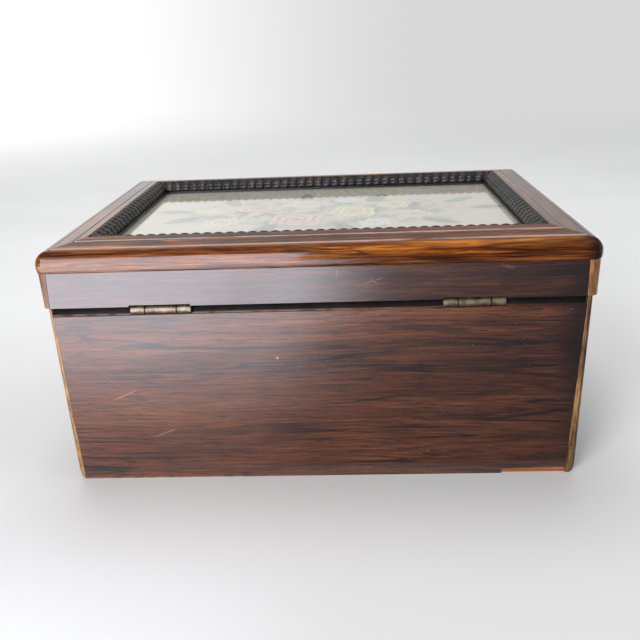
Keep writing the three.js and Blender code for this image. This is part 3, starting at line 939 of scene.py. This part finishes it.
def slip_section():
    """The slip's section as insets, heights and how far each point swings with the ripple."""
    width = SLIP_WIDTH - FILLET_WIDTH
    height = SLIP_HEIGHT - FILLET_HEIGHT
    edge = FRAME_WIDTH + SLIP_WIDTH
    foot = GLASS_TOP + FILLET_HEIGHT
    points = [(FRAME_WIDTH, GLASS_TOP, 0.0), (edge, GLASS_TOP, 0.0), (edge, foot, 0.0)]
    steps = REEDS * REED_STEPS
    for step in range(steps, -1, -1):
        turn = math.pi / 2 * step / steps
        rise = REED_DEPTH * abs(math.sin(math.pi * step / REED_STEPS))
        inset = FRAME_WIDTH + (width + rise) * math.sin(turn)
        points.append((inset, foot + (height + rise) * math.cos(turn), 1.0 if 0 < step < steps else 0.0))
    return points


def slip_blank(half, out):
    """A mitred length of the slip along the back before it is rippled, with its swing in an attribute."""
    section = slip_section()
    waves = math.floor(2 * half / RIPPLE_PITCH)
    count = waves * RIPPLE_STEPS
    rings = []
    for step in range(count + 1):
        x = half * (2 * step / count - 1)
        rings.append([(max(min(x, half - i), i - half), out - i, z) for i, z, _ in section])
    mesh = mesh_from(swept(rings), "slip_blank")
    swing = mesh.attributes.new("swing", "FLOAT", "POINT")
    moving = {(round((out - i) * MICRONS), round(z * MICRONS)) for i, z, share in section if share}
    for vertex, value in zip(mesh.vertices, swing.data):
        x, y, z = vertex.co
        on_mitre = abs(abs(x) - (half - (out - y))) < WELD
        on_reed = (round(y * MICRONS), round(z * MICRONS)) in moving
        value.value = 1.0 if on_reed and not on_mitre else 0.0
    return mesh


def ripple_tree():
    """Lifts each point of a slip by the wave along its length, away from the quarter round's centre."""
    tree = bpy.data.node_groups.new("ripple", "GeometryNodeTree")
    face = tree.interface
    face.new_socket("Slip", in_out="INPUT", socket_type="NodeSocketGeometry")
    for name in ("Pitch", "Swing"):
        face.new_socket(name, in_out="INPUT", socket_type="NodeSocketFloat")
    face.new_socket("Centre", in_out="INPUT", socket_type="NodeSocketVector")
    face.new_socket("Finish", in_out="INPUT", socket_type="NodeSocketMaterial")
    face.new_socket("Slip", in_out="OUTPUT", socket_type="NodeSocketGeometry")
    start = Wire.node(tree, "NodeGroupInput").socket.node
    entry = {socket.name: Wire(socket) for socket in start.outputs if socket.name}
    place = Wire.node(tree, "GeometryNodeInputPosition")
    x, _, _ = parts_of(place)
    swing = Wire.node(tree, "GeometryNodeInputNamedAttribute", {"data_type": "FLOAT"}, {"Name": "swing"})
    wave = abs((x * math.pi / entry["Pitch"]).sine())
    spoke = vector_maths("SUBTRACT", {0: place, 1: entry["Centre"]})
    spoke = vector_maths("MULTIPLY", {0: spoke, 1: (0.0, 1.0, 1.0)})
    spoke = vector_maths("NORMALIZE", {0: spoke})
    lift = (wave * 2 - 1) * swing * entry["Swing"]
    offset = vector_maths("SCALE", {0: spoke, "Scale": lift})
    crest = {"Geometry": entry["Slip"], "Name": "crest", "Value": wave * swing}
    on_points = {"data_type": "FLOAT", "domain": "POINT"}
    marked = Wire.node(tree, "GeometryNodeStoreNamedAttribute", on_points, crest)
    moved = Wire.node(tree, "GeometryNodeSetPosition", None, {"Geometry": marked, "Offset": offset})
    finish_tree(moved, entry["Finish"])
    return tree


def vector_maths(operation, values):
    return Wire.node(values[0].tree, "ShaderNodeVectorMath", {"operation": operation}, values)


def finish_tree(made, material):
    """Ends a geometry tree: real faces with their finish."""
    real = Wire.node(made.tree, "GeometryNodeRealizeInstances", None, {"Geometry": made})
    values = {"Geometry": real, "Material": material}
    shown = Wire.node(made.tree, "GeometryNodeSetMaterial", None, values)
    finish = made.tree.nodes.new("NodeGroupOutput")
    made.tree.links.new(shown.socket, finish.inputs[0])


def made_by(tree, mesh, values):
    """The plain mesh that a geometry tree makes of a mesh, with the tree's inputs by name."""
    carrier = bpy.data.objects.new("carrier", mesh)
    bpy.context.scene.collection.objects.link(carrier)
    modifier = carrier.modifiers.new("make", "NODES")
    modifier.node_group = tree
    for item in tree.interface.items_tree:
        if item.in_out == "INPUT" and item.name in values:
            modifier[item.identifier] = values[item.name]
    bpy.context.view_layer.update()
    graph = bpy.context.evaluated_depsgraph_get()
    result = bpy.data.meshes.new_from_object(carrier.evaluated_get(graph))
    bpy.data.objects.remove(carrier)
    return result


def ripple_slip(side, tree, material):
    half, out = side_sizes(side)
    values = {
        "Pitch": RIPPLE_PITCH,
        "Swing": RIPPLE_SWING,
        "Centre": (0.0, out - FRAME_WIDTH, GLASS_TOP + FILLET_HEIGHT),
        "Finish": material,
    }
    mesh = turned(made_by(tree, slip_blank(half, out), values), side)
    mesh.shade_smooth()
    mesh.set_sharp_from_angle(angle=math.radians(RIPPLE_SMOOTH))
    return piece(f"ripple_{side}_length", mesh, None, "lid", "ebonised_wood", f"ripple_{side}_slip")


def screw_head():
    """A flush screw head with its slot, its face at the origin and looking up."""
    work = bmesh.new()
    bmesh.ops.create_circle(work, cap_ends=True, radius=SCREW_RADIUS, segments=SCREW_SIDES)
    for sign in (-1, 1):
        plane = Vector((0, sign * SCREW_SLOT / 2, 0))
        geometry = work.verts[:] + work.edges[:] + work.faces[:]
        bmesh.ops.bisect_plane(work, geom=geometry, plane_co=plane, plane_no=(0, 1, 0))
    top = bmesh.ops.extrude_face_region(work, geom=work.faces[:])
    raised = [item for item in top["geom"] if isinstance(item, bmesh.types.BMVert)]
    bmesh.ops.translate(work, verts=raised, vec=(0, 0, SCREW_HEIGHT))
    slot_verts = [v for v in raised if abs(v.co.y) < SLOT_MIDDLE]
    bmesh.ops.translate(work, verts=slot_verts, vec=(0, 0, -SCREW_HEIGHT / 2))
    bmesh.ops.recalc_face_normals(work, faces=work.faces)
    return mesh_from(work, "screw_head")


def screw_tree():
    """Sets a screw head on every point, each slot turned by chance."""
    tree = bpy.data.node_groups.new("screws", "GeometryNodeTree")
    face = tree.interface
    face.new_socket("Places", in_out="INPUT", socket_type="NodeSocketGeometry")
    face.new_socket("Head", in_out="INPUT", socket_type="NodeSocketObject")
    face.new_socket("Tip", in_out="INPUT", socket_type="NodeSocketFloat")
    face.new_socket("Finish", in_out="INPUT", socket_type="NodeSocketMaterial")
    face.new_socket("Screws", in_out="OUTPUT", socket_type="NodeSocketGeometry")
    start = Wire.node(tree, "NodeGroupInput").socket.node
    entry = {socket.name: Wire(socket) for socket in start.outputs if socket.name}
    head = Wire.node(tree, "GeometryNodeObjectInfo", None, {"Object": entry["Head"]}, "Geometry")
    random = tree.nodes.new("FunctionNodeRandomValue")
    random.data_type = "FLOAT"
    random.inputs["Seed"].default_value = SCREW_SEED
    spin = Wire(next(socket for socket in random.outputs if socket.type == "VALUE")) * math.pi
    turn = Wire.node(tree, "ShaderNodeCombineXYZ", None, {0: entry["Tip"], 2: spin})
    values = {"Points": entry["Places"], "Instance": head, "Rotation": turn}
    set_out = Wire.node(tree, "GeometryNodeInstanceOnPoints", None, values)
    finish_tree(set_out, entry["Finish"])
    return tree


def hinge_screws(body, height, tip, tree, head, material):
    """Two screw heads on each leaf that a body carries, at the leaf's open face."""
    places = []
    for centre in (-HINGE_CENTRE, HINGE_CENTRE):
        for x in (centre - SCREW_SPREAD, centre + SCREW_SPREAD):
            places.append((x, SCREW_ROW, height))
    mesh = bpy.data.meshes.new("screw_places")
    mesh.from_pydata(places, [], [])
    made = made_by(tree, mesh, {"Head": head, "Tip": tip, "Finish": material})
    piece(f"{body}_hinge_screws", made, None, body, "hinge_brass")


# Finishes

# Each scratch: its ends as (x, z), its half width and its strength
BACK_MARKS = [
    ((0.1127, 0.0494), (0.0964, 0.0563), 0.00045, 0.8),
    ((0.0938, 0.0259), (0.0786, 0.0319), 0.0004, 0.65),
    ((0.119, 0.0681), (0.1046, 0.0559), 0.0003, 0.3),
    ((0.0222, 0.0736), (0.0206, 0.0722), 0.0009, 1.0),
]
LID_MARKS = [
    ((-0.0112, 0.1219), (-0.011, 0.1152), 0.0003, 0.5),
    ((-0.024, 0.1135), (-0.035, 0.1165), 0.0004, 0.35),
    ((-0.027, 0.1170), (-0.031, 0.1130), 0.0003, 0.4),
    ((-0.090, 0.1220), (-0.099, 0.1190), 0.0012, 0.2),
]


def finishes():
    """Every finish by the name that the dressing functions use."""
    return {
        "case_back": rosewood("rosewood_case_back", "X", seed=1.0, polish=0.42, tone_drift=0.05,
                              marks=BACK_MARKS, blackened_end=-CASE_X, edges=True),
        "lid_back": rosewood("rosewood_lid_back", "X", seed=4.0, polish=0.8, wave=0.12, shade=0.065,
                             tone_drift=0.02, marks=LID_MARKS, blackened_end=-LID_X),
        "front": rosewood("rosewood_front", "X", seed=7.0, polish=0.35),
        "sides": rosewood("rosewood_sides", "Y", seed=10.0, polish=0.35),
        "moulding_x": moulding_wood("moulding_long", "X", seed=2.0, shine=0.2, shaded_end=-LID_X),
        "moulding_y": moulding_wood("moulding_short", "Y", seed=5.0, shine=0.5),
        "carcase_x": plain_wood("carcase_long", "X", 3.0, CARCASE_STOPS, CARCASE_ROUGHNESS),
        "carcase_y": plain_wood("carcase_short", "Y", 6.0, CARCASE_STOPS, CARCASE_ROUGHNESS),
        "raw": plain_wood("raw_wood", "X", 8.0, RAW_STOPS, RAW_ROUGHNESS),
        "tan": worn_edging("edging_tan", 9.0, EDGING_STOPS["tan"]),
        "brown": worn_edging("edging_brown", 11.0, EDGING_STOPS["brown"], EDGING_SEAM),
        "russet": worn_edging("edging_russet", 12.0, EDGING_STOPS["russet"]),
        "orange": worn_edging("edging_orange", 16.0, EDGING_STOPS["orange"]),
        "bevel": ebonised("ebonised_bevel", "X", seed=13.0, shine=0.3),
        "ripple_x": ebonised("ebonised_ripple_long", "X", seed=14.0, shine=0.5, crest=True),
        "ripple_y": ebonised("ebonised_ripple_short", "Y", seed=15.0, shine=0.5, crest=True),
        "brass": aged_brass("aged_brass"),
        "glass": clear_glass("picture_glass"),
        "picture": painted_card("painted_card"),
    }


def along_key(side, long_key, short_key):
    return long_key if side in ("back", "front") else short_key


def dress_case(finish):
    for side in SIDES:
        wood = finish[along_key(side, "carcase_x", "carcase_y")]
        board = eased(f"case_{side}_board", BOARD_EASE, wood, "case", "carcase_wood")
        if side == "back":
            paint_bevel(board, finish)
        veneer = {"back": "case_back", "front": "front"}.get(side, "sides")
        eased(f"case_{side}_veneer", VENEER_EASE, finish[veneer], "case", "rosewood_veneer")
    eased("case_bottom_board", BOARD_EASE, finish["carcase_x"], "case", "carcase_wood")
    edgings = {"front_left": "brown", "front_right": "tan", "back_left": "brown", "back_right": "tan"}
    for corner, key in edgings.items():
        eased(f"case_{corner}_edging", EDGING_EASE, finish[key], "case", "edging_wood")


def paint_bevel(board, finish):
    """Black on the back board's bevel and mortises, and raw wood on its outer face."""
    board.data.materials.append(finish["bevel"])
    board.data.materials.append(finish["raw"])
    for face in board.data.polygons:
        if face.normal.y > LOOKS_OUT and face.normal.z < LOOKS_OUT:
            face.material_index = RAW_FINISH
        near_rim = face.center.y > CASE_Y - BEVEL_DEPTH and face.center.z > RIM - BEVEL_FALL
        below_rim = face.center.z < RIM - BEVEL_CLEAR
        if near_rim and below_rim and max(face.normal.y, face.normal.z) > SLOPES:
            face.material_index = BEVEL_FINISH


def dress_lid(finish):
    for side in SIDES:
        wood = finish[along_key(side, "carcase_x", "carcase_y")]
        eased(f"lid_{side}_board", BOARD_EASE, wood, "lid", "carcase_wood")
        veneer = {"back": "lid_back", "front": "front"}.get(side, "sides")
        eased(f"lid_{side}_veneer", VENEER_EASE, finish[veneer], "lid", "rosewood_veneer")
    edgings = {
        "front_left": "russet",
        "front_right": "brown",
        "back_left": "orange",
        "back_right": "russet",
    }
    for corner, key in edgings.items():
        eased(f"lid_{corner}_edging", EDGING_EASE, finish[key], "lid", "edging_wood")
    eased("lid_panel", BOARD_EASE, finish["carcase_x"], "lid", "carcase_wood")
    pane(finish["glass"])
    card = nodes["picture_card"]
    card.data.materials.clear()
    card.data.materials.append(finish["picture"])
    tree = ripple_tree()
    for side in SIDES:
        frame_moulding(side, finish[along_key(side, "moulding_x", "moulding_y")])
        ripple_slip(side, tree, finish[along_key(side, "ripple_x", "ripple_y")])


def dress_hinges(finish):
    for hand in ("left", "right"):
        for part, body in (("case_leaf", "case"), ("pin", "case"), ("lid_leaf", "lid")):
            eased(f"{hand}_hinge_{part}", BRASS_EASE, finish["brass"], body, "hinge_brass")
    head = bpy.data.objects.new("screw_head", screw_head())
    bpy.context.scene.collection.objects.link(head)
    tree = screw_tree()
    hinge_screws("case", CASE_LEAF_FACE, 0.0, tree, head, finish["brass"])
    hinge_screws("lid", LID_LEAF_FACE, math.pi, tree, head, finish["brass"])
    bpy.data.objects.remove(head)


# Stage, light and camera

FLOOR_HALF = 3.0
FLOOR_STOPS = [(0.3, (0.86, 0.86, 0.862)), (0.7, (0.9, 0.9, 0.902))]
FLOOR_FLECK_SCALE = 6
FLOOR_ROUGHNESS = 0.7
# Painted shade on the floor near the camera, deeper towards +X
FLOOR_SHADE_GREYS = ((0.71, 0.71, 0.715), (0.6, 0.6, 0.605))
FLOOR_SHADE_ACROSS = (0.05, 0.45)
FLOOR_SHADE_FROM = (-0.22, 0.12)
FLOOR_MELTS = (-0.45, -1.7)
BACKDROP_AT = -2.2
BACKDROP_TOP = 2.6
BACKDROP_GLOW = 1.1
# Painted light: the backdrop's glow is dimmer towards -X
BACKDROP_TINTS = ((0.62, 0.62, 0.62), (1.0, 1.0, 1.0))
BACKDROP_ACROSS = (-0.4, 1.2)

# Cards seen only in reflections: standing ones from (x, z) to (x, z), lying ones from (x, y) to (x, y)
CARD_TINT = (0.87, 0.9, 1.0)
CARD_UNLIT = (0.01, 0.01, 0.01)
CARD_NEAR = CASE_Y + 0.005
CARD_FAR = CASE_Y + 0.75
WINDOW_AT = 1.0
BRIGHT_WINDOW = ((0.08, 0.0), (0.9, 1.1))
BRIGHT_WINDOW_GLOW = 8.0
DARK_WINDOW = ((-1.3, 0.0), (0.08, 1.4))
DARK_WINDOW_GLOW = 0.03
DARK_SIDE = ((-0.7, CARD_NEAR), (-0.03, CARD_FAR))
DARK_SIDE_HEIGHT = 3 * MM
DARK_SIDE_GLOW = 0.1
BRIGHT_CARD = ((-0.07, CARD_NEAR), (0.7, CARD_FAR))
BRIGHT_CARD_HEIGHT = 4 * MM
BRIGHT_CARD_GLOW = 7.7

# The bright card's light: its rise away from the box, its dim bar, and its edge with a jog in it
CARD_RISE = (0.03, 0.26)
CARD_LEAST = 0.06
BAR_AT = 0.085
BAR_HALF = 0.05
BAR_DEPTH = 0.22
CARD_EDGE = (-0.025, 0.095)
CARD_JOG_FROM = (0.23, 0.27)
CARD_JOG = 0.04

# Each light: its place, what it looks at, its size and its watts
LIGHTS = {
    "top_light": ((0.1, -0.45, 1.7), (0, -0.2, 0.06), 1.0, 12.0),
    "front_light": ((0.45, 0.85, 0.6), (0, 0.1, 0.08), 0.5, 8.0),
    "side_light": ((-0.9, 0.35, 0.7), (-0.2, 0.1, 0.0), 0.6, 1.8),
}
STUDIO_TINT = (0.97, 0.98, 1.0)
STUDIO_GLOW = 0.32

LENS = 39.73
SENSOR = 36.0
CLIP_START = 0.01
CAMERA_AT = Vector((-0.01803, CASE_Y + 0.33374, 0.2282))
CAMERA_RIGHT = Vector((-0.99869, -0.03343, -0.03869))
CAMERA_UP = Vector((-0.02337, -0.37458, 0.92690))


def stage_piece(name, corners, material):
    """A flat piece of the stage."""
    mesh = bpy.data.meshes.new(name)
    mesh.from_pydata(corners, [], [tuple(range(len(corners)))])
    made = bpy.data.objects.new(name, mesh)
    bpy.context.scene.collection.objects.link(made)
    made.data.materials.append(material)
    return made


def lying(low, high, height):
    """The corners of a level piece, from one (x, y) to another."""
    outline = ((low[0], low[1]), (high[0], low[1]), (high[0], high[1]), (low[0], high[1]))
    return [(x, y, height) for x, y in outline]


def standing(low, high, y):
    """The corners of a piece standing across the view, from one (x, z) to another."""
    outline = ((low[0], low[1]), (high[0], low[1]), (high[0], high[1]), (low[0], high[1]))
    return [(x, y, z) for x, z in outline]


def glow(tree, colour, strength):
    return Wire.node(tree, "ShaderNodeEmission", None, {"Color": colour, "Strength": strength})


def glowing(tree, shader):
    """Makes a shader the tree's surface."""
    Wire.node(tree, "ShaderNodeOutputMaterial", None, {"Surface": shader})


def backdrop_light(tree):
    """The backdrop's glowing white, with painted light that grows towards the window side."""
    x, _, _ = parts_of(object_place(tree))
    dim, full = (rgba(tint) for tint in BACKDROP_TINTS)
    return glow(tree, x.step(*BACKDROP_ACROSS).blend(dim, full), BACKDROP_GLOW)


def backdrop_finish():
    material, tree = new_tree("backdrop_white")
    glowing(tree, backdrop_light(tree))
    return material


def floor_finish():
    """Pale paper with painted shade near the camera, deeper towards +X, that runs into the backdrop's white.
    """
    material, tree = new_tree("floor_paper")
    place = object_place(tree)
    x, y, _ = parts_of(place)
    white = noise(place, FLOOR_FLECK_SCALE, 2).ramp(FLOOR_STOPS)
    pale, deep = (rgba(floor_shade) for floor_shade in FLOOR_SHADE_GREYS)
    floor_shade = x.step(*FLOOR_SHADE_ACROSS).blend(pale, deep)
    surface(tree, y.step(*FLOOR_SHADE_FROM).blend(white, floor_shade), FLOOR_ROUGHNESS)
    paper = Wire(tree.nodes["Principled BSDF"].outputs[0])
    shaders = {0: y.step(*FLOOR_MELTS), 1: paper, 2: backdrop_light(tree)}
    mixed = Wire.node(tree, "ShaderNodeMixShader", None, shaders)
    tree.links.new(mixed.socket, tree.nodes["Material Output"].inputs["Surface"])
    return material


def only_reflected(card):
    card.visible_camera = False
    card.visible_diffuse = False
    card.visible_shadow = False
    card.visible_transmission = False


def reflected_card(name, corners, strength):
    """A card seen only in polished surfaces."""
    material, tree = new_tree(name)
    glowing(tree, glow(tree, rgba(CARD_TINT), strength))
    only_reflected(stage_piece(name, corners, material))


def bright_card():
    """A lying card whose light grows away from the box and away from the dark side."""
    material, tree = new_tree("bright_card")
    x, y, _ = parts_of(object_place(tree))
    away = y - CASE_Y
    bar = abs(x - BAR_AT).step(0.0, BAR_HALF) * BAR_DEPTH + (1 - BAR_DEPTH)
    aside = x + away.step(*CARD_JOG_FROM) * CARD_JOG
    level = away.step(*CARD_RISE) * bar * (1 - CARD_LEAST) + CARD_LEAST
    light = (level * aside.step(*CARD_EDGE)).blend(rgba(CARD_UNLIT), rgba(CARD_TINT))
    glowing(tree, glow(tree, light, BRIGHT_CARD_GLOW))
    only_reflected(stage_piece("bright_card", lying(*BRIGHT_CARD, BRIGHT_CARD_HEIGHT), material))


def area_light(name, at, towards, size, watts):
    light = bpy.data.lights.new(name, "AREA")
    light.shape = "DISK"
    light.size = size
    light.energy = watts
    made = bpy.data.objects.new(name, light)
    made.location = at
    made.rotation_euler = (Vector(towards) - Vector(at)).to_track_quat("-Z", "Y").to_euler()
    made.visible_glossy = False
    made.visible_transmission = False
    bpy.context.scene.collection.objects.link(made)


def build_stage():
    floor = lying((-FLOOR_HALF, BACKDROP_AT), (FLOOR_HALF, FLOOR_HALF), 0.0)
    stage_piece("floor", floor, floor_finish())
    backdrop = standing((-FLOOR_HALF, 0.0), (FLOOR_HALF, BACKDROP_TOP), BACKDROP_AT)
    stage_piece("backdrop", backdrop, backdrop_finish())
    bright_card()
    reflected_card("bright_window", standing(*BRIGHT_WINDOW, WINDOW_AT), BRIGHT_WINDOW_GLOW)
    reflected_card("dark_window", standing(*DARK_WINDOW, WINDOW_AT), DARK_WINDOW_GLOW)
    reflected_card("dark_side", lying(*DARK_SIDE, DARK_SIDE_HEIGHT), DARK_SIDE_GLOW)
    world = bpy.data.worlds.new("studio")
    world.use_nodes = True
    background = world.node_tree.nodes["Background"]
    background.inputs["Color"].default_value = rgba(STUDIO_TINT)
    background.inputs["Strength"].default_value = STUDIO_GLOW
    bpy.context.scene.world = world
    for name, values in LIGHTS.items():
        area_light(name, *values)


def build_camera():
    camera = bpy.data.cameras.new("camera")
    camera.lens = LENS
    camera.sensor_width = SENSOR
    camera.clip_start = CLIP_START
    made = bpy.data.objects.new("camera", camera)
    back = CAMERA_RIGHT.cross(CAMERA_UP)
    axes = Matrix((CAMERA_RIGHT, CAMERA_UP, back)).transposed().to_4x4()
    axes.translation = CAMERA_AT
    made.matrix_world = axes
    bpy.context.scene.collection.objects.link(made)
    bpy.context.scene.camera = made


build_camera()
build_stage()
bpy.context.scene.view_settings.view_transform = "Standard"
finish = finishes()
dress_case(finish)
dress_lid(finish)
dress_hinges(finish)
